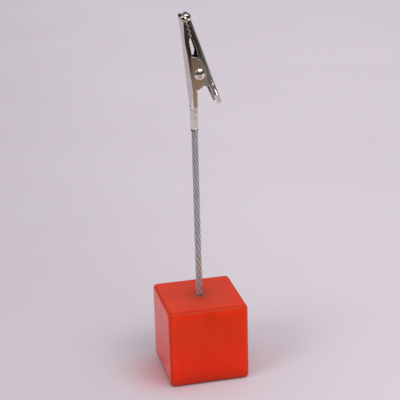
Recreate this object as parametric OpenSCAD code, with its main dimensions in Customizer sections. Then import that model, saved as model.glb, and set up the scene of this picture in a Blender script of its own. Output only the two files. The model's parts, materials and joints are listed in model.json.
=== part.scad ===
// Memo holder: a translucent cube carries a stiff strand of steel wires,
// and a sprung clip with toothed jaws is crimped on the strand's upper end.
// Millimetres, +Z up. The origin is the middle of the cube's underside.

/* [Block] */
// Side of the cube
block_side = 25; // [20:0.5:40]
// Rounding of the cube's edges
block_round = 1.5; // [0.5:0.1:2.5]
// Depth of the blind hole in the top of the cube
hole_depth = 9; // [6:0.5:15]
// Thickness of the glue round the rope in its hole
glue_wall = 0.15; // [0.1:0.05:0.4]

/* [Rope] */
// Diameter of one wire
wire_d = 0.37; // [0.3:0.01:0.42]
// Gap between neighbouring wires
wire_gap = 0.01; // [0.005:0.005:0.03]
// Length of rope that shows between the cube and the clip
rope_free = 53.3; // [35:0.1:80]
// Length in which an outer wire makes one turn
outer_lay = 14; // [11:0.5:20]
// Length in which an inner wire makes one turn, the other way round
inner_lay = 14; // [11:0.5:20]
// Clearance between the rope and what holds it
rope_clear = 0.02; // [0.01:0.01:0.08]

/* [Clip sheet] */
// Thickness of the clip's sheet metal
sheet = 0.3; // [0.2:0.02:0.4]
// Radius outside the folds along the fixed jaw's back
fixed_round = 0.4; // [0.35:0.05:0.7]
// Radius outside the folds along the moving jaw's back
moving_round = 1.1; // [0.7:0.05:1.2]
// Turn of the clip about the rope
clip_turn = 3.4; // [-90:0.1:90]

/* [Jaws] */
// Lean of the closed jaws from the rope's line
jaw_lean = 12.5; // [8:0.5:16]
// Length of the jaws from the pivot to the nose
jaw_length = 18.3; // [16:0.1:24]
// Width of the jaws at the teeth
front_width = 3.5; // [3:0.1:4]
// Width of the jaws at the tip of the nose
nose_width = 2.6; // [2:0.1:3]
// Rounding of the nose, seen from the side
nose_round = 0.8; // [0.5:0.05:1]
// Depth of the fixed jaw at its nose, from the line where the teeth meet
fixed_nose = 1.2; // [1.1:0.05:1.6]
// Depth of the moving jaw at its nose, from the line where the teeth meet
moving_nose = 1.45; // [1.2:0.05:1.8]
// Distance from the pivot to the fixed jaw's back
fixed_back = 2.95; // [2.7:0.05:3.4]
// Distance from the pivot to the moving jaw's back
moving_back = 3.6; // [3.3:0.05:4.2]
// Offset of the line where the teeth meet from the pivot
meet_offset = 0.2; // [-0.2:0.05:0.4]

/* [Teeth] */
// Number of teeth along the fixed jaw
teeth = 5; // [3:1:7]
// Distance from one tooth to the next
tooth_pitch = 1.48; // [1.2:0.02:1.6]
// Height of a tooth
tooth_height = 0.58; // [0.3:0.02:0.8]
// Gap between the two rows of teeth when closed
tooth_gap = 0.16; // [0.1:0.02:0.3]
// Depth of the open window behind each jaw's teeth
window_depth = 1.0; // [0.6:0.05:1.2]

/* [Ears] */
// Width over the fixed jaw's ears
ear_width = 5.2; // [4.8:0.1:6.4]
// Reach of the fixed jaw's ears past the pivot
ear_reach = 2.1; // [1.9:0.1:2.6]
// Depth of the ears' rounded edge
ear_depth = 3.9; // [3.4:0.1:4.4]
// Height of the ears
ear_height = 10.4; // [8:0.2:11]
// Rise of the middle of the ears over the pivot
ear_rise = 0.7; // [0:0.1:1]
// Clearance between the two jaws' ears on each side
ear_clear = 0.2; // [0.12:0.02:0.3]

/* [Tail and lever] */
// Height of the pivot over the lower end of the barrel
pivot_rise = 17.56; // [15:0.1:22]
// Offset of the pivot from the rope's axis
pivot_offset = 1.32; // [0.8:0.05:1.8]
// Length of the barrel that grips the rope
barrel_length = 7.7; // [6:0.1:9]
// Length of the barrel above the rope's end
barrel_spare = 1.2; // [0.9:0.1:2]
// Wall of the barrel, thinned where it is pressed onto the rope
barrel_wall = 0.18; // [0.16:0.02:0.3]
// Width of the barrel's seam
seam_width = 0.22; // [0.1:0.02:0.4]
// Depth of the crimp marks in the barrel's two sides
crimp_depth = 0.1; // [0.04:0.02:0.12]
// Length of the crimp marks
crimp_length = 2.8; // [1.5:0.1:3.5]
// Height of the crimp marks over the lower end of the barrel
crimp_rise = 0.9; // [0.8:0.1:2]
// Depth of the pressed ring near the lower end of the barrel
ring_depth = 0.08; // [0.04:0.02:0.12]
// Depth of the nicks behind the top of the barrel
nick_depth = 0.14; // [0.08:0.02:0.18]
// Distance between the two nicks
nick_pitch = 1.1; // [0.8:0.1:1.6]
// Depth of the tail's channel below the ears
tail_depth = 1.75; // [1.4:0.05:2.1]
// Length of the lever from the pivot to its tip
lever_length = 10.5; // [9:0.1:12]
// Greatest width of the lever, above its lip
lever_width = 4.6; // [4:0.1:5]
// Length of the lip at the lever's tip
lip_length = 1.7; // [1:0.1:2.2]
// How far the lip draws in on each side
lip_draw = 0.25; // [0.1:0.05:0.4]
// Depth of the lever's walls at its tip
lever_depth = 1.7; // [1.4:0.05:2]

/* [Rivet] */
// Diameter of the rivet's shank
rivet_d = 2; // [1.6:0.1:2.2]
// Diameter of the rivet's heads
rivet_head_d = 3.3; // [2.6:0.05:3.6]
// Height of the rivet's heads
rivet_head_h = 0.6; // [0.3:0.02:0.8]
// Clearance round the rivet in both jaws
rivet_clear = 0.05; // [0.02:0.01:0.1]

/* [Spring] */
// Diameter of the spring's wire
spring_wire = 0.4; // [0.3:0.02:0.45]
// Whole turns of the spring between its two legs
spring_turns = 3; // [2:1:3]
// Clearance of the spring from the rivet, the ears and the channels
spring_clear = 0.12; // [0.06:0.01:0.2]
// Height below the pivot at which the legs press on the channels
leg_drop = 6; // [5:0.1:7]
// Offset of the legs' ends from the middle of the channels
leg_offset = 0.6; // [0.4:0.05:0.8]

/* [Hidden] */
inner_count = 6;
outer_count = 12;

// Rings in one turn of a wire, and sides of each ring
inner_rings = 8;
outer_rings = 12;
wire_sides = 6;
// Steps round one edge of the cube, and the part of its rounding left on a flat face
edge_steps = 6;
flat_corner = 0.05;
// Steps round one fold, one nose, one ear, one lobe and one rivet head, and down the tail
fold_steps = 5;
nose_steps = 6;
tail_steps = 5;
ear_steps = 28;
lobe_steps = 14;
head_steps = 10;
// Rings in one turn of the spring
spring_rings = 12;
// How far cutting shapes run past what they cut
past = 1;
// Sides of round shapes, and of the small ones
round_fn = 48;
small_fn = 24;

// The rope: its layers and its ends
function lay_stretch(r, lay) = norm([2 * PI * r, lay]) / lay;
inner_r = max((wire_d + wire_gap) / cos(180 / inner_rings),
              wire_d * lay_stretch(wire_d, inner_lay) + wire_gap);
outer_r = max((inner_r + wire_d + wire_gap) / cos(180 / outer_rings),
              (wire_d * lay_stretch(2 * wire_d, outer_lay) + wire_gap)
              / (2 * sin(180 / outer_count)));
rope_r = outer_r + wire_d / 2;
glue_floor = 2 * glue_wall;
hole_r = rope_r + rope_clear + glue_wall;
barrel_bottom = block_side + rope_free;
rope_bottom = block_side - hole_depth + glue_floor + rope_clear;
rope_top = barrel_bottom + barrel_length - barrel_spare;
rope_length = rope_top - rope_bottom;

// The barrel and the pivot, where the clip's own frame sits
barrel_bore_r = rope_r + rope_clear;
barrel_r = barrel_bore_r + barrel_wall;
pivot_z = barrel_bottom + pivot_rise;

// The clip's own frame: x across the jaws, y along them to the nose,
// z along the pivot. A jaw's back is at -x, and the moving jaw is mirrored.
front_half = front_width / 2;
nose_half = nose_width / 2;
ear_half = ear_width / 2;
moving_half = ear_half - sheet - ear_clear;
lever_half = lever_width / 2;
ear_top = ear_rise + ear_height / 2;
ear_bottom = ear_rise - ear_height / 2;
heel_y = jaw_length - teeth * tooth_pitch;
// The tail's sheet stands proud of the barrel by this lip
barrel_lip = sheet / 6;
tail_r = barrel_r + barrel_lip;
tail_overlap = 2 * sheet;
tail_y = pivot_offset * sin(jaw_lean) - (pivot_rise - barrel_length) * cos(jaw_lean) - tail_overlap;
far = 3 * ear_width;

// Backs of the jaws: the fixed one turns into the line of the barrel
fixed_slope = (fixed_back + meet_offset - fixed_nose) / jaw_length;
moving_slope = (moving_back - meet_offset - moving_nose) / jaw_length;
fixed_line = function (y)
    min(-fixed_back + y * fixed_slope,
        -(tail_r + pivot_offset) / cos(jaw_lean) + y * tan(jaw_lean));
moving_line = function (y) -moving_back + y * moving_slope;

// Half widths and fold radii along the jaws: the noses are rounded across as well
neck_y = heel_y - tooth_pitch / 2;
lip_y = lip_length - lever_length;
tooth_root = (tooth_height + tooth_gap) / 2;
nose_r = min(nose_round, min(fixed_nose, moving_nose) - tooth_root);
brow_y = jaw_length - nose_r;
brow_half = front_half - sheet / 3;
nose_widths = [for (i = [0:nose_steps]) let (a = 90 * i / nose_steps)
    [brow_y + nose_r * sin(a), nose_half + (brow_half - nose_half) * cos(a)]];
front_widths = concat([[neck_y, front_half]], nose_widths, [[jaw_length + past, nose_half - sheet]]);
// The tail narrows in one smooth sweep from the ears to the barrel
tail_part = function (y) max(0, min(1, (y - tail_y) / (ear_bottom - tail_y)));
tail_blend = function (y, low, high) low + (high - low) * pow(tail_part(y), 2) * (3 - 2 * tail_part(y));
fixed_half = function (y) y < ear_bottom ? tail_blend(y, tail_r, ear_half)
    : lookup(y, concat([[ear_top, ear_half]], front_widths));
moving_half_at = function (y) lookup(y, concat(
    [[-lever_length, lever_half - lip_draw], [lip_y, lever_half],
     [ear_bottom, moving_half], [ear_top, moving_half]], front_widths));
fixed_fold = function (y) tail_blend(y, tail_r - sheet / 4, fixed_round);
// A fold takes at most this share of the half width
fold_share = 0.75;
moving_fold = function (y) min(moving_round, fold_share * moving_half_at(y));

// The spring coils round the rivet, and its legs lie on the two backs
spring_r = rivet_d / 2 + spring_clear + spring_wire / 2;
spring_span = 2 * (moving_half - sheet - spring_clear) - spring_wire;
leg_seat = sheet + spring_clear + spring_wire / 2;
fixed_leg_end = [fixed_line(-leg_drop) + leg_seat, -leg_drop];
moving_leg_end = [-moving_line(-leg_drop) - leg_seat, -leg_drop];
// Angle at which a straight leg to a point leaves the coil
function leave_angle(p, side) = atan2(p[1], p[0]) + side * acos(spring_r / norm(p));
leg_start_angle = leave_angle(fixed_leg_end, -1) + 360;
leg_finish_angle = leave_angle(moving_leg_end, 1);
coil_sweep = leg_start_angle - leg_finish_angle + 360 * spring_turns;
coil_steps = ceil(coil_sweep / 360 * spring_rings);
function coil_point(i) =
    let (part = i / coil_steps, a = leg_start_angle - coil_sweep * part)
    [spring_r * cos(a), spring_r * sin(a), spring_span * (part - 0.5)];
spring_path = concat(
    [[fixed_leg_end[0], fixed_leg_end[1], -leg_offset]],
    [for (i = [0:coil_steps]) coil_point(i)],
    [[moving_leg_end[0], moving_leg_end[1], leg_offset]]
);
// Least gap between points of the coil that are half a turn or more apart
spring_least_gap = min([for (i = [0:coil_steps]) each [
    for (j = [i + spring_rings / 2:1:coil_steps]) norm(coil_point(i) - coil_point(j)) - spring_wire]]);
echo(spring_least_gap = spring_least_gap);

// Faces of a tube of rings, each ring counter-clockwise seen from the last
function tube_faces(rings, sides) = concat(
    [for (i = [0:rings - 2]) for (s = [0:sides - 1])
        let (a = i * sides + s, b = i * sides + (s + 1) % sides)
        each [[a, a + sides, b + sides], [a, b + sides, b]]],
    [for (s = [1:sides - 2]) [0, s, s + 1]],
    [for (s = [1:sides - 2]) let (o = (rings - 1) * sides) [o, o + s + 1, o + s]]
);

module tube(rings) {
    polyhedron(points = [for (ring = rings) each ring],
               faces = tube_faces(len(rings), len(rings[0])));
}

// Places children that are drawn in the clip's own frame
module in_clip() {
    rotate([0, 0, clip_turn])
        translate([pivot_offset, 0, pivot_z])
            rotate([0, -jaw_lean, 0])
                rotate([90, 0, 0])
                    children();
}

// The cube is a tube of rounded squares: each level is a corner radius and a height
module base_block() {
    reach = block_side / 2 - block_round;
    edge = [for (i = [0:edge_steps]) let (a = 90 * i / edge_steps)
        [block_round * max(sin(a), flat_corner), block_round * (1 - cos(a))]];
    levels = concat(edge, [for (i = [edge_steps:-1:0]) [edge[i][0], block_side - edge[i][1]]]);
    rings = [for (level = levels) [for (corner = [0:3]) for (i = [0:edge_steps])
        let (a = 90 * (corner + i / edge_steps), middle = 90 * corner + 45)
        [reach * sign(cos(middle)) + level[0] * cos(a),
         reach * sign(sin(middle)) + level[0] * sin(a),
         level[1]]]];
    color([0.86, 0.17, 0.1, 0.85]) difference() {
        tube(rings);
        translate([0, 0, block_side - hole_depth])
            cylinder(r = hole_r, h = hole_depth + past, $fn = round_fn);
    }
}

// The glue is a cup that lines the hole and holds the rope's lower end
module glue_sleeve() {
    fit = rope_clear / 3;
    bottom = block_side - hole_depth + fit;
    color([0.9, 0.75, 0.6, 0.7]) difference() {
        translate([0, 0, bottom])
            cylinder(r = hole_r - fit, h = block_side - bottom, $fn = round_fn);
        translate([0, 0, rope_bottom - rope_clear])
            cylinder(r = rope_r + rope_clear / 2, h = hole_depth, $fn = round_fn);
    }
}

module core_wire() {
    color("silver")
        translate([0, 0, rope_bottom])
            cylinder(d = wire_d, h = rope_length, $fn = small_fn);
}

// One wire wound round the rope's axis: hand is 1 for a right-hand lay
module laid_wire(r, lay, hand, start, rings_per_turn) {
    steps = ceil(rope_length / lay * rings_per_turn);
    wide = wire_d / 2 * lay_stretch(r, lay);
    rings = [for (i = [0:steps])
        let (z = rope_length * i / steps, a = start + hand * 360 * z / lay)
        [for (s = [0:wire_sides - 1])
            let (turn = 360 * s / wire_sides,
                 out = r + wire_d / 2 * cos(turn),
                 along = wide * sin(turn))
            [out * cos(a) - along * sin(a), out * sin(a) + along * cos(a), rope_bottom + z]]];
    tube(rings);
}

module inner_wire(i) {
    color("gray")
        laid_wire(inner_r, inner_lay, 1, 360 * i / inner_count, inner_rings);
}

module outer_wire(i) {
    color("darkgray")
        laid_wire(outer_r, outer_lay, -1, 360 * i / outer_count, outer_rings);
}

// A solid channel that tapers through rings at the given heights
module channel(levels, back, half, fold, inset) {
    reach = ear_width + inset;
    rings = [for (y = levels)
        let (b = back(y) + inset, h = half(y) - inset, f = max(fold(y) - inset, flat_corner))
        concat(
            [[reach, y, h]],
            [for (i = [0:fold_steps]) let (a = 90 * i / fold_steps)
                [b + f * (1 - sin(a)), y, h - f * (1 - cos(a))]],
            [for (i = [0:fold_steps]) let (a = 90 * i / fold_steps)
                [b + f * (1 - cos(a)), y, f * (1 - sin(a)) - h]],
            [[reach, y, -h]])];
    tube(rings);
}

// Rounded corner of the nose, and the way back down behind the jaw
function nose_points(back, inset, bottom) =
    let (c = [back(brow_y) + nose_r, brow_y], r = nose_r - inset)
    concat(
        [for (i = [0:nose_steps]) let (a = 90 + 90 * i / nose_steps) c + r * [cos(a), sin(a)]],
        [[-far, brow_y], [-far, bottom]]);

// Toothed edge from the heel to the nose, for the jaw on the given side
function tooth_points(side) = [for (i = [0:2 * teeth])
    [side * (meet_offset + tooth_height / 2 * (i % 2 == 0 ? -1 : 1)) - tooth_gap / 2,
     heel_y + i * tooth_pitch / 2]];

// Rounded edge of an ear, from just past its lowest point to near its highest
ear_from = -94;
ear_to = 80;
function ear_points() = [for (i = [0:ear_steps])
    let (a = ear_from + (ear_to - ear_from) * i / ear_steps)
    [ear_reach - ear_depth + ear_depth * cos(a), ear_rise + ear_height / 2 * sin(a)]];

fixed_outline = concat(
    [[fixed_line(tail_y) + tail_r + barrel_r * cos(45), tail_y],
     [fixed_line(ear_bottom - sheet) + tail_depth, ear_bottom - 3 * sheet]],
    ear_points(),
    [[meet_offset - window_depth, ear_top + 2 * sheet],
     [meet_offset - 2 / 3 * window_depth, neck_y]],
    tooth_points(1),
    nose_points(fixed_line, 0, tail_y)
);

// The moving jaw's ears end in a round lobe about the pivot
moving_lobe_r = spring_r + spring_wire / 2 + 2 * sheet;
lobe_half = 70;
moving_outline = concat(
    [[moving_line(-lever_length) + lever_depth, -lever_length],
     [moving_line(ear_bottom) + moving_lobe_r, ear_bottom],
     [-sheet, ear_bottom + 2 * sheet]],
    [for (i = [0:lobe_steps]) let (a = lobe_half * (2 * i / lobe_steps - 1))
        moving_lobe_r * [cos(a), sin(a)]],
    [[-meet_offset - window_depth, ear_top + 2 * sheet],
     [-meet_offset - 2 / 3 * window_depth, neck_y]],
    tooth_points(-1),
    nose_points(moving_line, 0, -lever_length)
);

// A jaw pressed from sheet: a tapering channel cut to its side outline
module pressed_jaw(levels, back, half, fold, outline, bottom) {
    difference() {
        intersection() {
            channel(levels, back, half, fold, 0);
            linear_extrude(height = 2 * ear_width, center = true)
                polygon(outline);
        }
        intersection() {
            channel(concat(levels, [bottom - past]), back, half, fold, sheet);
            linear_extrude(height = 2 * ear_width, center = true)
                polygon(concat([[far, bottom - 2 * past], [far, jaw_length - sheet]],
                               nose_points(back, sheet, bottom - 2 * past)));
        }
        cylinder(r = rivet_d / 2 + rivet_clear, h = 2 * ear_width, center = true, $fn = round_fn);
    }
}

front_levels = concat([jaw_length + past], [for (i = [nose_steps:-1:0]) nose_widths[i][0]],
                      [neck_y, ear_top]);

// Rolled barrel with its seam towards the jaws' open side, two crimp marks and a pressed ring
module barrel() {
    crimp_r = 2 * sheet;
    ring_r = sheet;
    difference() {
        cylinder(r = barrel_r, h = barrel_length, $fn = round_fn);
        translate([0, 0, -past])
            cylinder(r = barrel_bore_r, h = barrel_length + 2 * past, $fn = round_fn);
        translate([0, -seam_width / 2, -past])
            cube([2 * barrel_r, seam_width, barrel_length + 2 * past]);
        for (side = [-1, 1])
            translate([0, side * (barrel_r + crimp_r - crimp_depth), crimp_rise])
                cylinder(r = crimp_r, h = crimp_length, $fn = small_fn);
        rotate_extrude($fn = round_fn)
            translate([barrel_r + ring_r - ring_depth, crimp_rise / 2])
                circle(r = ring_r, $fn = small_fn);
    }
}

// Two nicks across the back, where the tail turns into the barrel
module nicks() {
    nick_r = sheet;
    for (i = [0:1])
        translate([-tail_r - nick_r + nick_depth, 0, barrel_length - i * nick_pitch])
            rotate([90, 0, 0])
                cylinder(r = nick_r, h = 2 * barrel_r, center = true, $fn = small_fn);
}

module fixed_jaw() {
    levels = concat(front_levels, [for (i = [0:tail_steps])
        ear_bottom + (tail_y - ear_bottom) * i / tail_steps]);
    color([0.78, 0.78, 0.76]) difference() {
        union() {
            in_clip()
                pressed_jaw(levels, fixed_line, fixed_half, fixed_fold, fixed_outline, tail_y);
            rotate([0, 0, clip_turn])
                translate([0, 0, barrel_bottom])
                    barrel();
        }
        rotate([0, 0, clip_turn])
            translate([0, 0, barrel_bottom])
                nicks();
    }
}

module moving_jaw() {
    levels = concat(front_levels, [ear_bottom, lip_y, -lever_length]);
    color([0.7, 0.7, 0.7])
        in_clip()
            mirror([1, 0, 0])
                pressed_jaw(levels, moving_line, moving_half_at, moving_fold,
                            moving_outline, -lever_length);
}

// Rivet with a domed head over each ear
module pivot_rivet() {
    head_r = rivet_head_d / 2;
    half_arc = 2 * atan(rivet_head_h / head_r);
    dome_r = head_r / sin(half_arc);
    dome = [for (i = [0:head_steps]) let (a = half_arc * i / head_steps)
        [dome_r * sin(a), ear_half + rivet_head_h - dome_r * (1 - cos(a))]];
    color([0.85, 0.84, 0.8])
        in_clip()
            rotate_extrude($fn = round_fn)
                polygon(concat(
                    [for (p = dome) [p[0], -p[1]]],
                    [[rivet_d / 2, -ear_half], [rivet_d / 2, ear_half]],
                    [for (i = [head_steps:-1:0]) dome[i]]));
}

// Spring wire swept along its path in one unbroken tube
module torsion_spring() {
    last = len(spring_path) - 1;
    rings = [for (i = [0:last])
        let (before = spring_path[max(i - 1, 0)], after = spring_path[min(i + 1, last)],
             ahead = (after - before) / norm(after - before),
             side = cross(ahead, [0, 0, 1]) / norm(cross(ahead, [0, 0, 1])),
             over = cross(side, ahead))
        [for (s = [0:wire_sides - 1]) let (a = -360 * s / wire_sides)
            spring_path[i] + spring_wire / 2 * (cos(a) * side + sin(a) * over)]];
    color("dimgray")
        in_clip()
            tube(rings);
}

base_block();
glue_sleeve();
core_wire();
for (i = [1:inner_count]) inner_wire(i);
for (i = [1:outer_count]) outer_wire(i);
fixed_jaw();
moving_jaw();
pivot_rivet();
torsion_spring();
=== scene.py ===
"""Memo holder: its finishes, its smooth block, its laid wires and its pressed clip, in metres, +Z up."""
import json
import math

import bmesh
import bpy
from mathutils import Matrix, Vector


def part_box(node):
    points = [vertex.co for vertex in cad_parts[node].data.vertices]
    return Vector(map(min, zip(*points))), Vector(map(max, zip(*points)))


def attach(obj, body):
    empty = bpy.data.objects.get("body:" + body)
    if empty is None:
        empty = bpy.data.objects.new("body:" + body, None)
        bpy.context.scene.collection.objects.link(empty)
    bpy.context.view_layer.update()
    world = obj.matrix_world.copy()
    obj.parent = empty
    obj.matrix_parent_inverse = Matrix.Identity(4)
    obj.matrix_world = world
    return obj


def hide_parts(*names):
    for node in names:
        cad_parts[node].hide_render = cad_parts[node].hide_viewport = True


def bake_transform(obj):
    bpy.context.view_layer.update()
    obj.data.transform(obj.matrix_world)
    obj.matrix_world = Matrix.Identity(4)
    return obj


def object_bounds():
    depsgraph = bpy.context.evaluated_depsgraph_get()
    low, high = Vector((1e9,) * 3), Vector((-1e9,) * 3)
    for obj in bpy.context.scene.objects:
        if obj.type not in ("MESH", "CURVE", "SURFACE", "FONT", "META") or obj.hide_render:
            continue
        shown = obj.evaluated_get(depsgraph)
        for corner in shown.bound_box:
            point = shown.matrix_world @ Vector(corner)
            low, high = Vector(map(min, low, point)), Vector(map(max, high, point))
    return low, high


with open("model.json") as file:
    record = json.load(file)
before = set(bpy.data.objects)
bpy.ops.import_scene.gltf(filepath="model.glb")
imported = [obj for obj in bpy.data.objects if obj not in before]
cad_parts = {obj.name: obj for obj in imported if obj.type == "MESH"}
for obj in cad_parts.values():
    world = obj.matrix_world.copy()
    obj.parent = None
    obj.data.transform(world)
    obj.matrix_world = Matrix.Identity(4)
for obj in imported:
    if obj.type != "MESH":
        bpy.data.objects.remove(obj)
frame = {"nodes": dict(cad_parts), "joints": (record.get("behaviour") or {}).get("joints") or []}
cad_low, cad_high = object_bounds()
nodes = frame["nodes"]

MM = 0.001

# Camera: where it stands, how it looks at the holder, and its lens over the picture's width
PICTURE_PX = 400
FOCAL_PX = 1300
SENSOR_WIDTH = 36
CAMERA_PLACE = Vector((-80.17, -362.18, 191.67)) * MM
CAMERA_AZIMUTH = math.radians(-12.637)
CAMERA_ELEVATION = math.radians(20.075)
CAMERA_ROLL = math.radians(-1.622)

# Floor: its reach in metres, the width over which painted light brightens it towards +X, and its tones
FLOOR_REACH = 8.0
FLOOR_FADE = 90 * MM
FLOOR_FOLD = 120 * MM
FLOOR_SHADED_TONES = ((0.3, (0.555, 0.51, 0.55, 1)), (0.7, (0.585, 0.54, 0.58, 1)))
FLOOR_LIT_TONES = ((0.3, (0.66, 0.61, 0.66, 1)), (0.7, (0.69, 0.64, 0.69, 1)))

# Painted red light and shadow that the block throws on the floor at its left
GLOW_SCALE = (1 / (17 * MM), 1 / (20 * MM), 1)
GLOW_SHIFT = (12 / 17, 3 / 20, 0)
GLOW_TONE = (0.62, 0.40, 0.44, 1)

# Lamps: sizes in metres, or in millimetres for the small one, and powers in watts
KEY_PLACE = Vector((1000, -1700, 2200)) * MM
KEY_WIDTH = 2.4
KEY_HEIGHT = 1.4
KEY_POWER = 33.0
FILL_PLACE = Vector((-1800, -1000, 1500)) * MM
FILL_SIZE = 1.0
FILL_POWER = 15.5
# Small lamp close to the lever, for the glint along its fold
GLINT_TARGET = Vector((4.6, -2.0, 90.0)) * MM
GLINT_PLACE = Vector((21.2, -13.2, 90.5)) * MM
GLINT_WIDTH = 8 * MM
GLINT_HEIGHT = 1.6 * MM
GLINT_POWER = 0.0002

# World: the sky, and what bright metal sees of the room, from its dark front to its paler back
SKY_STRENGTH = 0.68
SKY_COLOUR = (0.98, 0.95, 0.98, 1)
ROOM_TONES = ((0.35, (0.06, 0.053, 0.053, 1)), (0.85, (0.60, 0.57, 0.58, 1)))
# Dark wall round the room: its share of what metal sees, by height
WALL_TONE = (0.03, 0.026, 0.026, 1)
WALL_SHARES = ((0.02, 0), (0.07, 1), (0.27, 1), (0.35, 0))

# Card round the front of the floor, which only bright metal reflects: tones by distance from the holder
CARD_HEIGHT = 2 * MM
CARD_REACH = 3.0
CARD_TONES = (
    (0.27, (0.72, 0.69, 0.71, 1)),
    (0.31, (0.33, 0.215, 0.135, 1)),
    (0.40, (0.22, 0.16, 0.125, 1)),
    (0.43, (0.032, 0.022, 0.02, 1)),
)
# Warm patch near the holder, which the clip's tail reflects
WARM_PLACE = Vector((43, -106, 2)) * MM
WARM_FULL = 55 * MM
WARM_REACH = 74 * MM
WARM_TONE = (0.33, 0.245, 0.185, 1)

# Sockets of the colour mixing node, and how rough every noise is
MIX_FACTOR = 0
MIX_FIRST = 6
MIX_SECOND = 7
MIX_RESULT = 2
NOISE_ROUGHNESS = 0.55

# Block and its hole
BLOCK_SIDE = cad_high.x - cad_low.x
BLOCK_ROUND = 1.5 * MM
ROUND_SEGMENTS = 8
HOLE_SIDES = 48

# Resin: brighter tones at the floor, painted light against the shade that falls low on the block, darker
# ones from a height up, and a satin surface
RESIN_LIT_LOW_HEIGHT = 0 * MM
RESIN_UPPER_HEIGHT = 20 * MM
RESIN_CLOUD = 9 * MM
RESIN_LIT_LOW_TONES = ((0.3, (0.80, 0.022, 0.006, 1)), (0.7, (0.84, 0.026, 0.007, 1)))
RESIN_UPPER_TONES = ((0.3, (0.61, 0.036, 0.006, 1)), (0.7, (0.65, 0.042, 0.007, 1)))
RESIN_FROST = 0.25 * MM
RESIN_FROST_DEPTH = 0.004 * MM
RESIN_WAVE = 5 * MM
RESIN_WAVE_DEPTH = 0.05 * MM
RESIN_ROUGHNESS = (0.2, 0.3)
# Rounded edges: the tone of painted shade on them, and the shares of the rounding's square where it starts
# and is full
EDGE_SHADE_TONE = (0.46, 0.036, 0.012, 1)
EDGE_START = 0.2
EDGE_FULL = 0.5

# Painted shade for the stem as it shows dimly in the resin: a ring round the hole, and a shape high on each
# side
STEM_SHADE_TONE = (0.43, 0.026, 0.004, 1)
STEM_RING_REACH = 6 * MM
STEM_RING_FULL = 0.5 * MM
STEM_RING_SHARE = 0.45
STEM_SIDE_REACH = 3.4 * MM
STEM_SIDE_FULL = 0.2 * MM
STEM_SIDE_SHARE = 0.36
STEM_LOW = 17 * MM
STEM_LOW_FULL = 22.5 * MM
STEM_HIGH_FULL = 23.6 * MM
STEM_HIGH = 24.6 * MM

# Glue in the hole
GLUE_STREAK = 0.6 * MM
GLUE_GRAIN = 0.2 * MM
GLUE_TONES = ((0.3, (0.5, 0.2, 0.12, 1)), (0.7, (0.6, 0.3, 0.2, 1)))
GLUE_ROUGHNESS = (0.25, 0.4)

# Wires of the rope: how they lie, and their drawn steel, with painted shade in the grooves between them
WIRE_DIAMETER = 0.37 * MM
OUTER_LAY = 14 * MM
INNER_LAY = 14 * MM
OUTER_HAND = -1
INNER_HAND = 1
OUTER_WIRES = 12
INNER_WIRES = 6
WIRE_SIDES = 10
STEPS_PER_TURN = 28
WIRE_SHARP_ANGLE = math.radians(50)
GROOVE_RADIUS = 0.86 * MM
CREST_RADIUS = 0.96 * MM
GROOVE_SHADE_TONE = (0.05, 0.05, 0.05, 1)
# Lit and shaded tones of the same steel: the shaded one is painted shade
LIT_WIRE_TONES = ((0.25, (0.86, 0.86, 0.86, 1)), (0.75, (0.99, 0.99, 0.99, 1)))
SHADED_WIRE_TONES = ((0.25, (0.40, 0.40, 0.40, 1)), (0.75, (0.60, 0.60, 0.60, 1)))
WIRE_WEAR = 1.4 * MM
WIRE_DRAW = 0.12 * MM
WIRE_DRAW_STRETCH = (1, 1, 0.08)
WIRE_DRAW_DEPTH = 0.004 * MM
WIRE_ROUGHNESS = (0.24, 0.42)

# Nickel plate of the clip's sheet
PLATE_STAIN = 3.0 * MM
PLATE_TONES = ((0.3, (0.64, 0.60, 0.55, 1)), (0.7, (0.76, 0.73, 0.69, 1)))
PLATE_GRAIN = 0.16 * MM
PLATE_GRAIN_STRETCH = (1, 1, 0.12)
PLATE_GRAIN_DEPTH = 0.003 * MM
PLATE_DENTS = 1.6 * MM
PLATE_DENT_DEPTH = 0.004 * MM
PLATE_ROUGHNESS = (0.06, 0.14)

# Barrel's rolled sheet, which is paler and duller
TAIL_END = 86.6 * MM
BARREL_TOP = 85.4 * MM
BARREL_END = 78.3 * MM
BARREL_TONES = ((0.3, (0.76, 0.74, 0.71, 1)), (0.7, (0.84, 0.82, 0.79, 1)))
BARREL_ROUGHNESS = 0.2

# Painted shade on the clip: in the two nicks of its barrel and round the barrel's lower end, less of it on
# a strip of the barrel's right side
CLIP_SHADE_TONE = (0.03, 0.028, 0.03, 1)
NICK_PLACES = (Vector((-1.25, 0, 86.0)) * MM, Vector((-1.25, 0, 84.9)) * MM)
NICK_REACH = 0.55 * MM
NICK_FULL = NICK_REACH / 2
RING_TOP = BARREL_END + 0.5 * MM
RING_FULL = BARREL_END + 0.2 * MM
RING_LIGHT_DIRECTION = (0.976, -0.218, 0)
RING_LIGHT_START = (0.1 * MM, 0.4 * MM)
RING_LIGHT_END = (1.1 * MM, 0.9 * MM)
RING_SHADE_LEFT = 0.3

# Scuffs on the moving jaw's sides, more of them lower down
SCUFF_HIGH = 106 * MM
SCUFF_LOW = 92 * MM
SCUFF_SIZE = 0.7 * MM
SCUFF_SPREAD = (0.25, 0.75)
SCUFF_SHARE = 0.34

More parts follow.
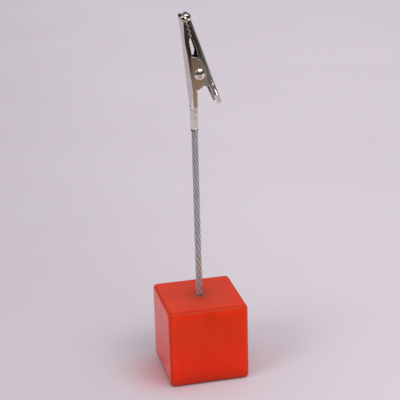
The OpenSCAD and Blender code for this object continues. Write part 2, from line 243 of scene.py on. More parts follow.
# Other finishes of the clip: painted shade inside the channels, the rubbed lever, worn edges and lip, rivet
# and spring
INSIDE_GRAIN = 0.8 * MM
INSIDE_SHADE_TONES = ((0.3, (0.20, 0.18, 0.16, 1)), (0.7, (0.30, 0.28, 0.25, 1)))
INSIDE_ROUGHNESS = (0.35, 0.5)
LEVER_RUB = 0.5 * MM
LEVER_RUB_STRETCH = (1, 1, 0.3)
LEVER_TONES = ((0.35, (0.34, 0.32, 0.31, 1)), (0.65, (0.62, 0.60, 0.58, 1)))
LEVER_ROUGHNESS = (0.28, 0.42)
WORN_RUB = 0.3 * MM
WORN_EDGE_TONES = ((0.3, (0.72, 0.70, 0.66, 1)), (0.7, (0.92, 0.90, 0.87, 1)))
WORN_LIP_TONES = ((0.3, (0.54, 0.49, 0.48, 1)), (0.7, (0.74, 0.68, 0.67, 1)))
WORN_ROUGHNESS = (0.3, 0.5)
RIVET_STAIN = 0.8 * MM
RIVET_GRAIN = 0.2 * MM
RIVET_TONES = ((0.3, (0.68, 0.64, 0.58, 1)), (0.7, (0.80, 0.77, 0.72, 1)))
RIVET_ROUGHNESS = (0.2, 0.34)
SPRING_STAIN = 0.9 * MM
SPRING_GRAIN = 0.1 * MM
SPRING_TONES = ((0.3, (0.24, 0.24, 0.25, 1)), (0.7, (0.36, 0.36, 0.36, 1)))
SPRING_ROUGHNESS = (0.28, 0.42)

# Material slots of a pressed piece, after its plate
EDGE_SLOT = 1
INSIDE_SLOT = 2
LEVER_SLOT = 3
LIP_SLOT = 4

# Edges of the clip's sheet
MERGE_DISTANCE = 0.001 * MM
FLAT_ANGLE = math.radians(0.6)
SHARP_ANGLE = math.radians(34)
SHEET_EDGE_ROUND = 0.08 * MM
SHEET_EDGE_SEGMENTS = 2

# Clip in its own frame: x across the jaws, y along them to the nose, z along the pivot
CLIP_TURN = math.radians(3.4)
CLIP_LEAN = math.radians(-12.5)
SPLIT_PLACE = 0.2 * MM
LEVER_TOP = -4.5 * MM
TAIL_LOW = -8.5 * MM
EAR_TOP = 5.9 * MM
NECK = 10.16 * MM
NOSE_END = 18.3 * MM

# Bead pressed in the end of each jaw, and the valley between the two beads
BEAD_CUTS = 6
BEAD_LOW = 16.0 * MM
BEAD_FULL = 16.9 * MM
BEAD_HIGH = 17.6 * MM
BEAD_SWELL = 0.17
VALLEY_CUTS = (0.18 * MM, 0.36 * MM, 0.6 * MM, 0.9 * MM)
CAP_CUTS = (-1.0 * MM, -0.5 * MM, 0, 0.5 * MM, 1.0 * MM)
VALLEY_REACH = 0.7 * MM
VALLEY_SINK = 0.24
VALLEY_DROP = 0.3 * MM

# Half widths of the moving jaw: at its ears and neck in the frame, and at its heel as drawn here
MOVING_HALF = 2.1 * MM
NECK_HALF = 1.75 * MM
HEEL_HALF = 2.2 * MM

# Lever: how far its sides stand out, where its lip is creased, and how its back slopes
LEVER_FLARE = 0.08 * MM
LIP_CREASE = -8.8 * MM
LIP_RISE = 1.1 * MM
LIP_TOP = LIP_CREASE + LIP_RISE
BACK_SLOPE = 0.10656

# How the turn of a face tells the channel's inside, the lever's sides, walls and cut faces apart
INSIDE_REACH = 0.7 * MM
LEVER_TURN = 0.99
WALL_TURN = 0.8
CUT_TURN = 0.3

# Rivet and spring
RIVET_REACH = 3.2 * MM
RIVET_HEAD_HEIGHT = 0.6 * MM
RIVET_SHANK_RADIUS = 1.0 * MM
DOME_STEPS = 10
RIVET_SIDES = 48
SPRING_SHARP_ANGLE = math.radians(70)
SPRING_LEVELS = 1

hinge = frame["joints"][0]
pivot = Vector(hinge["pos_m"])
clip_place = (Matrix.Translation(pivot) @ Matrix.Rotation(CLIP_TURN, 4, "Z")
              @ Matrix.Rotation(CLIP_LEAN, 4, "Y") @ Matrix.Rotation(math.pi / 2, 4, "X"))


# Camera and new objects

def add_camera():
    azimuth, elevation, roll = CAMERA_AZIMUTH, CAMERA_ELEVATION, CAMERA_ROLL
    back = Vector((
        math.sin(azimuth) * math.cos(elevation),
        -math.cos(azimuth) * math.cos(elevation),
        math.sin(elevation),
    ))
    level = Vector((math.cos(azimuth), math.sin(azimuth), 0))
    upright = back.cross(level)
    right = math.cos(roll) * level + math.sin(roll) * upright
    up = math.cos(roll) * upright - math.sin(roll) * level
    data = bpy.data.cameras.new("camera")
    data.sensor_width = SENSOR_WIDTH
    data.lens = FOCAL_PX / PICTURE_PX * SENSOR_WIDTH
    camera = bpy.data.objects.new("camera", data)
    bpy.context.scene.collection.objects.link(camera)
    camera.matrix_world = Matrix.Translation(CAMERA_PLACE) @ Matrix((right, up, back)).transposed().to_4x4()
    bpy.context.scene.camera = camera


def add_object(name, bm, material):
    mesh = bpy.data.meshes.new(name)
    bm.to_mesh(mesh)
    bm.free()
    obj = bpy.data.objects.new(name, mesh)
    bpy.context.scene.collection.objects.link(obj)
    obj.data.materials.append(material)
    return obj


# Node helpers for materials

class Finish:
    """A material on the Principled shader, with short calls for the nodes that feed it."""

    def __init__(self, name, **sockets):
        self.material = bpy.data.materials.new(name)
        self.material.use_nodes = True
        self.tree = self.material.node_tree
        self.shader = self.tree.nodes["Principled BSDF"]
        self.place = self.add("ShaderNodeTexCoord").outputs["Object"]
        for socket, value in sockets.items():
            self.shader.inputs[socket.replace("_", " ")].default_value = value

    def add(self, kind, **inputs):
        node = self.tree.nodes.new(kind)
        for socket, value in inputs.items():
            self.set(node, socket.replace("_", " "), value)
        return node

    def set(self, node, socket, value):
        if isinstance(value, bpy.types.NodeSocket):
            self.tree.links.new(value, node.inputs[socket])
        else:
            node.inputs[socket].default_value = value

    def feed(self, socket, value):
        self.tree.links.new(value, self.shader.inputs[socket])

    def stretched(self, scale, location=(0, 0, 0)):
        mapping = self.add("ShaderNodeMapping", Vector=self.place, Location=location, Scale=scale)
        return mapping.outputs["Vector"]

    def number(self, operation, *values):
        node = self.tree.nodes.new("ShaderNodeMath")
        node.operation = operation
        for i, value in enumerate(values):
            self.set(node, i, value)
        return node.outputs["Value"]

    def vector(self, operation, *values):
        node = self.tree.nodes.new("ShaderNodeVectorMath")
        node.operation = operation
        for i, value in enumerate(values):
            self.set(node, i, value)
        return node.outputs["Value" if operation in ("LENGTH", "DISTANCE", "DOT_PRODUCT") else "Vector"]

    def part(self, vector, axis):
        return self.add("ShaderNodeSeparateXYZ", Vector=vector).outputs[axis]

    def fade(self, value, start, end):
        node = self.add("ShaderNodeMapRange", Value=value, From_Min=start, From_Max=end)
        node.interpolation_type = "SMOOTHSTEP"
        return node.outputs["Result"]

    def noise(self, size, detail=3, place=None):
        texture = self.add("ShaderNodeTexNoise", Vector=place or self.place, Scale=1 / size,
                           Detail=detail, Roughness=NOISE_ROUGHNESS)
        return texture.outputs["Fac"]

    def ramp(self, factor, *stops):
        node = self.add("ShaderNodeValToRGB", Fac=factor)
        elements = node.color_ramp.elements
        for element, (position, colour) in zip(elements, (stops[0], stops[-1])):
            element.position = position
            element.color = colour
        for position, colour in stops[1:-1]:
            elements.new(position).color = colour
        return node.outputs["Color"]

    def between(self, factor, low, high):
        node = self.add("ShaderNodeMapRange", Value=factor, To_Min=low, To_Max=high)
        return node.outputs["Result"]

    def mix(self, factor, first, second):
        node = self.tree.nodes.new("ShaderNodeMix")
        node.data_type = "RGBA"
        self.set(node, MIX_FACTOR, factor)
        self.set(node, MIX_FIRST, first)
        self.set(node, MIX_SECOND, second)
        return node.outputs[MIX_RESULT]

    def bump(self, height, depth, normal=None):
        node = self.add("ShaderNodeBump", Height=height, Distance=depth, Strength=1.0)
        if normal is not None:
            self.set(node, "Normal", normal)
        return node.outputs["Normal"]


# Finishes

def edge_shade_mask(finish):
    """1 in the middle of the block's rounded edges, where shade is painted, 0 on its flat faces."""
    flat = BLOCK_SIDE / 2 - BLOCK_ROUND
    out = finish.vector("ABSOLUTE", finish.stretched((1, 1, 1), location=(0, 0, -BLOCK_SIDE / 2)))
    past = finish.vector("MAXIMUM", finish.vector("SUBTRACT", out, (flat, flat, flat)), (0, 0, 0))
    turned = finish.add("ShaderNodeCombineXYZ", X=finish.part(past, "Y"), Y=finish.part(past, "Z"),
                        Z=finish.part(past, "X")).outputs["Vector"]
    rounded = finish.vector("DOT_PRODUCT", past, turned)
    return finish.fade(rounded, EDGE_START * BLOCK_ROUND ** 2, EDGE_FULL * BLOCK_ROUND ** 2)


def stem_shade_mask(finish):
    """Over 0 where shade is painted for the stem showing dimly in the resin: round its hole and high on
    each side's middle.
    """
    across = finish.stretched((1, 1, 0))
    round_hole = finish.fade(finish.vector("LENGTH", across), STEM_RING_REACH, STEM_RING_FULL)
    out = finish.vector("ABSOLUTE", across)
    beside = finish.number("MINIMUM", finish.part(out, "X"), finish.part(out, "Y"))
    height = finish.part(finish.place, "Z")
    above_low = finish.fade(height, STEM_LOW, STEM_LOW_FULL)
    below_high = finish.fade(height, STEM_HIGH, STEM_HIGH_FULL)
    in_span = finish.number("MULTIPLY", above_low, below_high)
    down_side = finish.number("MULTIPLY", finish.fade(beside, STEM_SIDE_REACH, STEM_SIDE_FULL), in_span)
    ring = finish.between(round_hole, 0, STEM_RING_SHARE)
    side = finish.between(down_side, 0, STEM_SIDE_SHARE)
    return finish.number("MAXIMUM", ring, side)


def block_resin():
    finish = Finish("block_resin", IOR=1.45, Specular_Tint=(0.35, 0.35, 0.25, 1), Subsurface_Weight=1.0,
                    Subsurface_Scale=20 * MM, Subsurface_Radius=(1.0, 0.12, 0.05), Transmission_Weight=0.08)
    cloud = finish.noise(RESIN_CLOUD, detail=2)
    lit_low = finish.ramp(cloud, *RESIN_LIT_LOW_TONES)
    upper = finish.ramp(cloud, *RESIN_UPPER_TONES)
    # Painted light: the resin is brighter towards the floor
    rise = finish.fade(finish.part(finish.place, "Z"), RESIN_LIT_LOW_HEIGHT, RESIN_UPPER_HEIGHT)
    resin = finish.mix(rise, lit_low, upper)
    # Painted shade where the stem shows dimly through the resin
    resin = finish.mix(stem_shade_mask(finish), resin, STEM_SHADE_TONE)
    # Painted shade darkens the rounded edges
    finish.feed("Base Color", finish.mix(edge_shade_mask(finish), resin, EDGE_SHADE_TONE))
    frost = finish.noise(RESIN_FROST, detail=4)
    finish.feed("Roughness", finish.between(frost, *RESIN_ROUGHNESS))
    wave = finish.bump(finish.noise(RESIN_WAVE, detail=1), RESIN_WAVE_DEPTH)
    finish.feed("Normal", finish.bump(frost, RESIN_FROST_DEPTH, normal=wave))
    return finish.material


def set_glue():
    finish = Finish("set_glue", IOR=1.5, Transmission_Weight=0.6)
    finish.feed("Base Color", finish.ramp(finish.noise(GLUE_STREAK), *GLUE_TONES))
    finish.feed("Roughness", finish.between(finish.noise(GLUE_GRAIN), *GLUE_ROUGHNESS))
    return finish.material


def rope_steel(name, tones):
    finish = Finish(name, Metallic=0.75)
    bright = finish.ramp(finish.noise(WIRE_WEAR, detail=4), *tones)
    from_middle = finish.vector("LENGTH", finish.stretched((1, 1, 0)))
    crest = finish.fade(from_middle, GROOVE_RADIUS, CREST_RADIUS)
    # Painted shade: the steel goes dark in the grooves between the wires
    finish.feed("Base Color", finish.mix(crest, GROOVE_SHADE_TONE, bright))
    drawn = finish.noise(WIRE_DRAW, detail=2, place=finish.stretched(WIRE_DRAW_STRETCH))
    finish.feed("Roughness", finish.between(drawn, *WIRE_ROUGHNESS))
    finish.feed("Normal", finish.bump(drawn, WIRE_DRAW_DEPTH))
    return finish.material


def end_ring_shade(finish, height):
    """1 round the barrel's lower end, where shade is painted, and less on a strip of the barrel's right
    side.
    """
    across = finish.vector("DOT_PRODUCT", finish.place, RING_LIGHT_DIRECTION)
    lit_side = finish.number("MULTIPLY", finish.fade(across, *RING_LIGHT_START), finish.fade(across, *RING_LIGHT_END))
    return finish.number("MULTIPLY", finish.fade(height, RING_TOP, RING_FULL),
                         finish.between(lit_side, 1, RING_SHADE_LEFT))


def nickel_sheet(name, scuffs=0.0):
    finish = Finish(name, Metallic=1.0)
    height = finish.part(finish.place, "Z")
    stain = finish.noise(PLATE_STAIN, detail=3)
    barrel = finish.fade(height, TAIL_END, BARREL_TOP)
    plate = finish.mix(barrel, finish.ramp(stain, *PLATE_TONES), finish.ramp(stain, *BARREL_TONES))
    # Painted shade in the two nicks of the barrel
    for nick in NICK_PLACES:
        in_nick = finish.fade(finish.vector("DISTANCE", finish.place, nick), NICK_REACH, NICK_FULL)
        plate = finish.mix(in_nick, plate, CLIP_SHADE_TONE)
    # Painted shade round the barrel's lower end
    finish.feed("Base Color", finish.mix(end_ring_shade(finish, height), plate, CLIP_SHADE_TONE))
    grain = finish.noise(PLATE_GRAIN, detail=3, place=finish.stretched(PLATE_GRAIN_STRETCH))
    shine = finish.between(grain, *PLATE_ROUGHNESS)
    rolled = finish.between(barrel, 0, BARREL_ROUGHNESS)
    finish.feed("Roughness", finish.number("MAXIMUM", shine, rolled))
    if scuffs:
        scuff = finish.number("MULTIPLY", finish.fade(finish.noise(SCUFF_SIZE, detail=4), *SCUFF_SPREAD),
                              finish.fade(height, SCUFF_HIGH, SCUFF_LOW))
        finish.feed("Metallic", finish.between(scuff, 1, 1 - scuffs))
    dents = finish.bump(finish.noise(PLATE_DENTS, detail=2), PLATE_DENT_DEPTH)
    finish.feed("Normal", finish.bump(grain, PLATE_GRAIN_DEPTH, normal=dents))
    return finish.material


def sheet_inside_shade():
    finish = Finish("sheet_inside_shade", Metallic=1.0)
    # Painted shade: the channel's inner walls are darker than the plate
    dull = finish.noise(INSIDE_GRAIN, detail=3)
    finish.feed("Base Color", finish.ramp(dull, *INSIDE_SHADE_TONES))
    finish.feed("Roughness", finish.between(dull, *INSIDE_ROUGHNESS))
    return finish.material


def rubbed_lever():
    finish = Finish("rubbed_lever", Metallic=0.9)
    rub = finish.noise(LEVER_RUB, detail=3, place=finish.stretched(LEVER_RUB_STRETCH))
    finish.feed("Base Color", finish.ramp(rub, *LEVER_TONES))
    finish.feed("Roughness", finish.between(rub, *LEVER_ROUGHNESS))
    return finish.material


def worn_edge(name, tones):
    finish = Finish(name, Metallic=0.6)
    rub = finish.noise(WORN_RUB, detail=2)
    finish.feed("Base Color", finish.ramp(rub, *tones))
    finish.feed("Roughness", finish.between(rub, *WORN_ROUGHNESS))
    return finish.material


def rivet_nickel():
    finish = Finish("rivet_nickel", Metallic=1.0)
    finish.feed("Base Color", finish.ramp(finish.noise(RIVET_STAIN, detail=3), *RIVET_TONES))
    finish.feed("Roughness", finish.between(finish.noise(RIVET_GRAIN), *RIVET_ROUGHNESS))
    return finish.material


def spring_steel():
    finish = Finish("spring_steel", Metallic=1.0)
    finish.feed("Base Color", finish.ramp(finish.noise(SPRING_STAIN), *SPRING_TONES))
    finish.feed("Roughness", finish.between(finish.noise(SPRING_GRAIN), *SPRING_ROUGHNESS))
    return finish.material


def floor_cloth():
    finish = Finish("floor_cloth", Roughness=0.9, Specular_IOR_Level=0.1)
    fold = finish.noise(FLOOR_FOLD, detail=2)
    # Painted light: the cloth brightens towards +X, the key lamp's side
    lighter = finish.fade(finish.part(finish.place, "X"), -FLOOR_FADE, FLOOR_FADE)
    cloth = finish.mix(lighter, finish.ramp(fold, *FLOOR_SHADED_TONES), finish.ramp(fold, *FLOOR_LIT_TONES))
    # Painted red light and shadow of the block on the floor at its left
    glow = finish.fade(finish.vector("LENGTH", finish.stretched(GLOW_SCALE, location=GLOW_SHIFT)), 1.0, 0.0)
    finish.feed("Base Color", finish.mix(glow, cloth, GLOW_TONE))
    return finish.material


def card_paper():
    finish = Finish("card_paper", Roughness=0.9, Specular_IOR_Level=0.0)
    rings = finish.ramp(finish.vector("LENGTH", finish.place), *CARD_TONES)
    warm = finish.fade(finish.vector("DISTANCE", finish.place, WARM_PLACE), WARM_REACH, WARM_FULL)
    finish.feed("Base Color", finish.mix(warm, rings, WARM_TONE))
    return finish.material


# Stage and light

def add_floor():
    bm = bmesh.new()
    bmesh.ops.create_grid(bm, x_segments=1, y_segments=1, size=FLOOR_REACH)
    floor = add_object("floor", bm, floor_cloth())


def add_card():
    bm = bmesh.new()
    middle = Matrix.Translation((0, -CARD_REACH, CARD_HEIGHT))
    bmesh.ops.create_grid(bm, x_segments=1, y_segments=1, size=CARD_REACH, matrix=middle)
    card = add_object("front_card", bm, card_paper())
    card.visible_camera = False
    card.visible_diffuse = False
    card.visible_shadow = False
    card.visible_transmission = False


def add_softbox(name, place, width, height, power, target=Vector((0, 0, 0))):
    data = bpy.data.lights.new(name, "AREA")
    data.shape = "RECTANGLE"
    data.size = width
    data.size_y = height
    data.energy = power
    softbox = bpy.data.objects.new(name, data)
    bpy.context.scene.collection.objects.link(softbox)
    softbox.location = place
    softbox.rotation_mode = "QUATERNION"
    softbox.rotation_quaternion = (place - target).to_track_quat("Z", "Y")
    softbox.visible_camera = False
    return softbox


def add_world():
    world = bpy.data.worlds.new("studio")
    bpy.context.scene.world = world
    world.use_nodes = True
    tree = world.node_tree
    background = tree.nodes["Background"]
    background.inputs["Strength"].default_value = SKY_STRENGTH
    split = tree.nodes.new("ShaderNodeSeparateXYZ")
    tree.links.new(tree.nodes.new("ShaderNodeTexCoord").outputs["Generated"], split.inputs["Vector"])
    from_front = tree.nodes.new("ShaderNodeMapRange")
    from_front.inputs["From Min"].default_value = -1
    tree.links.new(split.outputs["Y"], from_front.inputs["Value"])
    room = tree.nodes.new("ShaderNodeValToRGB")
    tree.links.new(from_front.outputs["Result"], room.inputs["Fac"])
    for element, (position, colour) in zip(room.color_ramp.elements, ROOM_TONES):
        element.position = position
        element.color = colour
    band = tree.nodes.new("ShaderNodeValToRGB")
    tree.links.new(split.outputs["Z"], band.inputs["Fac"])
    while len(band.color_ramp.elements) < len(WALL_SHARES):
        band.color_ramp.elements.new(1)
    for element, (position, share) in zip(band.color_ramp.elements, WALL_SHARES):
        element.position = position
        element.color = (share, share, share, 1)
    walls = tree.nodes.new("ShaderNodeMix")
    walls.data_type = "RGBA"
    tree.links.new(band.outputs["Color"], walls.inputs[MIX_FACTOR])
    tree.links.new(room.outputs["Color"], walls.inputs[MIX_FIRST])
    walls.inputs[MIX_SECOND].default_value = WALL_TONE
    seen = tree.nodes.new("ShaderNodeMix")
    seen.data_type = "RGBA"
    light_path = tree.nodes.new("ShaderNodeLightPath")
    tree.links.new(light_path.outputs["Is Glossy Ray"], seen.inputs[MIX_FACTOR])
    seen.inputs[MIX_FIRST].default_value = SKY_COLOUR
    tree.links.new(walls.outputs[MIX_RESULT], seen.inputs[MIX_SECOND])
    tree.links.new(seen.outputs[MIX_RESULT], background.inputs["Color"])


# Pieces

def shade(obj, angle=SHARP_ANGLE):
    obj.data.shade_smooth()
    obj.data.set_sharp_from_angle(angle=angle)


def add_weighted_normals(obj):
    modifier = obj.modifiers.new("even_normals", "WEIGHTED_NORMAL")
    modifier.keep_sharp = True


def make_block(material):
    low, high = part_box("base_block")
    hole_low, hole_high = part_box("glue_sleeve")
    side = high.x - low.x
    hole_radius = (hole_high.x - hole_low.x) / 2
    bm = bmesh.new()
    bmesh.ops.create_cube(bm, size=side, matrix=Matrix.Translation((low + high) / 2))
    bmesh.ops.bevel(bm, geom=bm.edges[:], offset=BLOCK_ROUND, affect="EDGES", segments=ROUND_SEGMENTS,
                    profile=0.5, material=-1)
    top = max(bm.faces, key=lambda face: face.calc_center_median().z)
    rim = top.edges[:]
    bmesh.ops.delete(bm, geom=[top], context="FACES_ONLY")
    mouth = bmesh.ops.create_circle(bm, segments=HOLE_SIDES, radius=hole_radius,
                                    matrix=Matrix.Translation((0, 0, high.z)))["verts"]
    lip = list({edge for vert in mouth for edge in vert.link_edges})
    bmesh.ops.triangle_fill(bm, use_beauty=True, edges=rim + lip)
    wall = bmesh.ops.extrude_edge_only(bm, edges=lip)["geom"]
    floor_verts = [part for part in wall if isinstance(part, bmesh.types.BMVert)]
    floor_edges = [part for part in wall if isinstance(part, bmesh.types.BMEdge)]
    bmesh.ops.translate(bm, verts=floor_verts, vec=(0, 0, hole_low.z - high.z))
    bmesh.ops.edgeloop_fill(bm, edges=floor_edges)
    bmesh.ops.recalc_face_normals(bm, faces=bm.faces)
    block = add_object("resin_block", bm, material)
    shade(block)
    add_weighted_normals(block)
    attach(block, "base")
    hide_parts("base_block")


def make_wire(name, node, lay, hand, start, material):
    low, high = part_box(node)
    radius = (high.x - low.x - WIRE_DIAMETER) / 2
    length = high.z - low.z
    turns = length / lay
    steps = round(turns * STEPS_PER_TURN)
    pitch_angle = math.atan2(2 * math.pi * radius, lay)
    start_turn = Matrix.Rotation(start, 4, "Z")
    across = Matrix.Translation((radius, 0, low.z)) @ Matrix.Rotation(-hand * pitch_angle, 4, "X")
    bm = bmesh.new()
    ring = bmesh.ops.create_circle(bm, segments=WIRE_SIDES, radius=WIRE_DIAMETER / 2,
                                   matrix=start_turn @ across)["verts"]
    first_edges = list({edge for vert in ring for edge in vert.link_edges})
    winding = hand * turns * 2 * math.pi
    last = bmesh.ops.spin(bm, geom=first_edges, cent=(0, 0, 0), axis=(0, 0, 1),
                          dvec=(0, 0, length / steps), angle=winding, steps=steps)["geom_last"]
    last_edges = [part for part in last if isinstance(part, bmesh.types.BMEdge)]
    bmesh.ops.edgeloop_fill(bm, edges=first_edges)
    bmesh.ops.edgeloop_fill(bm, edges=last_edges)
    bmesh.ops.recalc_face_normals(bm, faces=bm.faces)
    wire = add_object(name, bm, material)
    shade(wire, WIRE_SHARP_ANGLE)
    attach(wire, "base")
    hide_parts(node)


def make_rope(material, shaded_material):
    for i in range(1, INNER_WIRES + 1):
        start = 2 * math.pi * i / INNER_WIRES
        make_wire(f"inner_strand_{i}", f"inner_wire_{i}", INNER_LAY, INNER_HAND, start, material)
    for i in range(1, OUTER_WIRES + 1):
        start = 2 * math.pi * i / OUTER_WIRES
        # Every other outer wire takes the steel with painted shade, for lit and shaded stripes
        steel_here = shaded_material if i % 2 else material
        make_wire(f"outer_strand_{i}", f"outer_wire_{i}", OUTER_LAY, OUTER_HAND, start, steel_here)


def merged_copy(node):
    bm = bmesh.new()
    bm.from_mesh(nodes[node].data)
    bmesh.ops.remove_doubles(bm, verts=bm.verts, dist=MERGE_DISTANCE)
    return bm


def merge_flats(bm, high=NOSE_END):
    """Joins the flat triangles below a level."""
    edges = [edge for edge in bm.edges if all(vert.co.y < high for vert in edge.verts)]
    verts = [vert for vert in bm.verts if vert.co.y < high]
    bmesh.ops.dissolve_limit(bm, angle_limit=FLAT_ANGLE, verts=verts, edges=edges)


def smooth_step(value, start, end):
    share = min(max((value - start) / (end - start), 0), 1)
    return share * share * (3 - 2 * share)


def cut_nose(bm, place, direction):
    """Adds a cut through the end of a jaw, for the bead's shape."""
    lowest = BEAD_FULL - MERGE_DISTANCE
    faces = [face for face in bm.faces if all(vert.co.y > lowest for vert in face.verts)]
    edges = list({edge for face in faces for edge in face.edges})
    verts = list({vert for face in faces for vert in face.verts})
    bmesh.ops.bisect_plane(bm, geom=verts + edges + faces, dist=MERGE_DISTANCE,
                           plane_co=place, plane_no=direction)


def swell_nose(bm):
    """Gives the end of a jaw its pressed bead, which sinks to a valley where the two jaws meet."""
    for i in range(BEAD_CUTS + 1):
        level = BEAD_LOW + (BEAD_FULL - BEAD_LOW) * i / BEAD_CUTS
        bmesh.ops.bisect_plane(bm, geom=bm.verts[:] + bm.edges[:] + bm.faces[:], dist=MERGE_DISTANCE,
                               plane_co=(0, level, 0), plane_no=(0, 1, 0))
    for reach in VALLEY_CUTS:
        cut_nose(bm, (SPLIT_PLACE - reach, 0, 0), (1, 0, 0))
        cut_nose(bm, (SPLIT_PLACE + reach, 0, 0), (1, 0, 0))
    for along in CAP_CUTS:
        cut_nose(bm, (0, 0, along), (0, 0, 1))
    for vert in bm.verts:
        rise = smooth_step(vert.co.y, BEAD_LOW, BEAD_FULL)
        fall = smooth_step(vert.co.y, NOSE_END, BEAD_HIGH)
        swell = 1 + BEAD_SWELL * rise * fall
        valley = smooth_step(abs(vert.co.x - SPLIT_PLACE), VALLEY_REACH, 0)
        valley *= smooth_step(vert.co.y, BEAD_FULL, BEAD_HIGH)
        vert.co.x = SPLIT_PLACE + (vert.co.x - SPLIT_PLACE) * swell
        vert.co.y -= VALLEY_DROP * valley
        vert.co.z *= swell - VALLEY_SINK * valley


def ring_at(bm, level):
    return [vert for vert in bm.verts if abs(vert.co.y - level) < SHEET_EDGE_ROUND / 2]


def taper_walls(bm):
    """Draws the moving jaw's walls in along one line, from its lever to its neck."""
    for vert in bm.verts:
        along = vert.co.y
        drawn = (min(max(along, LEVER_TOP), NECK) - LEVER_TOP) / (NECK - LEVER_TOP)
        bent = min(max((along - EAR_TOP) / (NECK - EAR_TOP), 0), 1)
        half = HEEL_HALF + (NECK_HALF - HEEL_HALF) * drawn
        vert.co.z *= half / (MOVING_HALF + (NECK_HALF - MOVING_HALF) * bent)


def mark_lever(bm):
    """Gives the lever's outer sides, rubbed by the thumb, and its lip their own material slots."""
    for face in bm.faces:
        middle = face.calc_center_median()
        outward = middle.z * face.normal.z > 0 and abs(face.normal.z) > LEVER_TURN
        if outward and LIP_TOP < middle.y < LEVER_TOP:
            face.material_index = LEVER_SLOT
        elif middle.y < LIP_TOP and face.normal.x > 0:
            face.material_index = LIP_SLOT


def mark_inside(bm):
    """Gives the channel's inner walls their own material slot, which holds their painted shade."""
    for face in bm.faces:
        if face.normal.z * face.calc_center_median().z < -INSIDE_REACH:
            face.material_index = INSIDE_SLOT


def lengthen_lip(bm):
    """Moves the crease of the lever's lip up its back, and the lever's sides out."""
    for vert in bm.verts:
        if vert.co.y < LEVER_TOP - MERGE_DISTANCE:
            vert.co.z += math.copysign(LEVER_FLARE, vert.co.z)
    bmesh.ops.translate(bm, verts=ring_at(bm, LIP_CREASE), vec=(-BACK_SLOPE * LIP_RISE, LIP_RISE, 0))


def is_cut_edge(edge):
    """True between a wall of the sheet and the face where it was cut, or at the end of the lip."""
    turns = sorted(abs(face.normal.z) for face in edge.link_faces)
    at_lip = any(face.normal.y < -WALL_TURN for face in edge.link_faces)
    return at_lip or (turns[0] < CUT_TURN and turns[-1] > WALL_TURN)


def weigh_outline(bm, *spans):
    """Marks the sheet's cut edges in some spans of its length, for their rounding."""
    weight = bm.edges.layers.float.new("bevel_weight_edge")
    for edge in bm.edges:
        between = any(all(low < vert.co.y < high for vert in edge.verts) for low, high in spans)
        if between and edge.calc_face_angle(0) > SHARP_ANGLE and is_cut_edge(edge):
            edge[weight] = 1


def creases_at(bm, *levels):
    rings = [set(ring_at(bm, level)) for level in levels]
    bm.edges.index_update()
    return [edge.index for edge in bm.edges if any(set(edge.verts) <= ring for ring in rings)]


def add_pressed(name, bm, material, edge_material, creases=()):
    """A metal piece whose edges are rounded and rubbed bright."""
    piece = add_object(name, bm, material)
    piece.data.materials.append(edge_material)
    shade(piece)
    for i in creases:
        piece.data.edges[i].use_edge_sharp = True
    edge_round = piece.modifiers.new("edge_round", "BEVEL")
    edge_round.width = SHEET_EDGE_ROUND
    edge_round.segments = SHEET_EDGE_SEGMENTS
    edge_round.limit_method = "WEIGHT"
    edge_round.harden_normals = False
    edge_round.use_clamp_overlap = False
    edge_round.material = EDGE_SLOT
    add_weighted_normals(piece)
    return piece


def make_fixed_jaw(material, edge_material, inside_shade_material):
    bm = merged_copy("fixed_jaw")
    bm.transform(clip_place.inverted())
    swell_nose(bm)
    merge_flats(bm, BEAD_LOW - MERGE_DISTANCE)
    mark_inside(bm)
    weigh_outline(bm, (TAIL_LOW, BEAD_FULL))
    creases = creases_at(bm, LEVER_TOP)
    bm.transform(clip_place)
    jaw = add_pressed("toothed_jaw_fixed", bm, material, edge_material, creases)
    jaw.data.materials.append(inside_shade_material)
    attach(jaw, "base")
    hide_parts("fixed_jaw")


def make_moving_jaw(material, edge_material, inside_shade_material, lever_material, lip_material):
    bm = merged_copy("moving_jaw")
    bm.transform(clip_place.inverted())
    swell_nose(bm)
    taper_walls(bm)
    lengthen_lip(bm)
    merge_flats(bm, BEAD_LOW - MERGE_DISTANCE)
    mark_inside(bm)
    mark_lever(bm)
    weigh_outline(bm, (-NOSE_END, EAR_TOP), (NECK + SHEET_EDGE_ROUND, BEAD_FULL))
    creases = creases_at(bm, LEVER_TOP, LIP_TOP)
    bm.transform(clip_place)
    jaw = add_pressed("toothed_jaw_moving", bm, material, edge_material, creases)
    jaw.data.materials.append(inside_shade_material)
    jaw.data.materials.append(lever_material)
    jaw.data.materials.append(lip_material)
    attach(jaw, "jaw")
    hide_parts("moving_jaw")


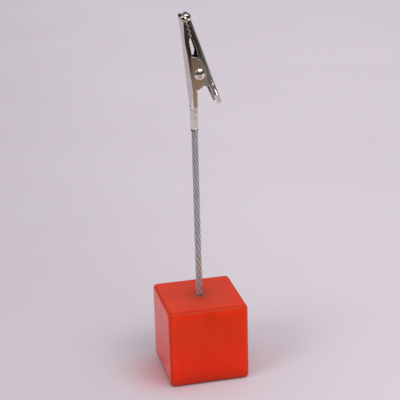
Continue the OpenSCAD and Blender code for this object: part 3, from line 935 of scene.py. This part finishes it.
def make_rivet(material, edge_material):
    """A shank with a dome at each end, turned from its half outline."""
    low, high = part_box("pivot_rivet")
    head_radius = (high.z - low.z) / 2
    head_base = RIVET_REACH - RIVET_HEAD_HEIGHT
    dome_radius = (head_radius ** 2 + RIVET_HEAD_HEIGHT ** 2) / (2 * RIVET_HEAD_HEIGHT)
    dome_middle = RIVET_REACH - dome_radius
    dome_angle = math.asin(head_radius / dome_radius)
    bm = bmesh.new()
    corner = bm.verts.new((0, 0, RIVET_REACH))
    bmesh.ops.spin(bm, geom=[corner], cent=(0, 0, dome_middle), axis=(0, 1, 0),
                   angle=dome_angle, steps=DOME_STEPS)
    corner = max(bm.verts, key=lambda vert: vert.co.x)
    for radius, height in ((RIVET_SHANK_RADIUS, head_base), (RIVET_SHANK_RADIUS, -head_base),
                           (head_radius, -head_base)):
        corner = bmesh.ops.extrude_vert_indiv(bm, verts=[corner])["verts"][0]
        corner.co = (radius, 0, height)
    bmesh.ops.spin(bm, geom=[corner], cent=(0, 0, -dome_middle), axis=(0, 1, 0),
                   angle=dome_angle, steps=DOME_STEPS)
    bmesh.ops.spin(bm, geom=bm.edges[:], cent=(0, 0, 0), axis=(0, 0, 1),
                   angle=2 * math.pi, steps=RIVET_SIDES, use_merge=True)
    bmesh.ops.remove_doubles(bm, verts=bm.verts, dist=MERGE_DISTANCE)
    bmesh.ops.recalc_face_normals(bm, faces=bm.faces)
    bm.transform(clip_place)
    rivet = add_pressed("domed_rivet", bm, material, edge_material)
    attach(rivet, "base")
    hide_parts("pivot_rivet")


def make_spring(material):
    bm = merged_copy("torsion_spring")
    merge_flats(bm)
    spring = add_object("jaw_spring", bm, material)
    shade(spring, SPRING_SHARP_ANGLE)
    smooth = spring.modifiers.new("round_wire", "SUBSURF")
    smooth.levels = SPRING_LEVELS
    smooth.render_levels = SPRING_LEVELS
    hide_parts("torsion_spring")
    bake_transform(spring)


def dress(node, material):
    nodes[node].data.materials.clear()
    nodes[node].data.materials.append(material)


# Scene

bpy.context.scene.view_settings.view_transform = "Standard"
add_camera()
add_floor()
add_card()
add_softbox("key", KEY_PLACE, KEY_WIDTH, KEY_HEIGHT, KEY_POWER)
add_softbox("fill", FILL_PLACE, FILL_SIZE, FILL_SIZE, FILL_POWER)
glint = add_softbox("glint", GLINT_PLACE, GLINT_WIDTH, GLINT_HEIGHT, GLINT_POWER, GLINT_TARGET)
glint.visible_diffuse = False
add_world()

steel = rope_steel("rope_steel", LIT_WIRE_TONES)
shaded_steel = rope_steel("rope_steel_shaded", SHADED_WIRE_TONES)
nickel = nickel_sheet("nickel_sheet")
scuffed_nickel = nickel_sheet("scuffed_nickel", SCUFF_SHARE)
worn = worn_edge("worn_edge", WORN_EDGE_TONES)
worn_lip = worn_edge("worn_lip", WORN_LIP_TONES)
make_block(block_resin())
dress("glue_sleeve", set_glue())
dress("core_wire", steel)
make_rope(steel, shaded_steel)
inside = sheet_inside_shade()
make_fixed_jaw(nickel, worn, inside)
make_moving_jaw(scuffed_nickel, worn, inside, rubbed_lever(), worn_lip)
make_rivet(rivet_nickel(), worn)
make_spring(spring_steel())
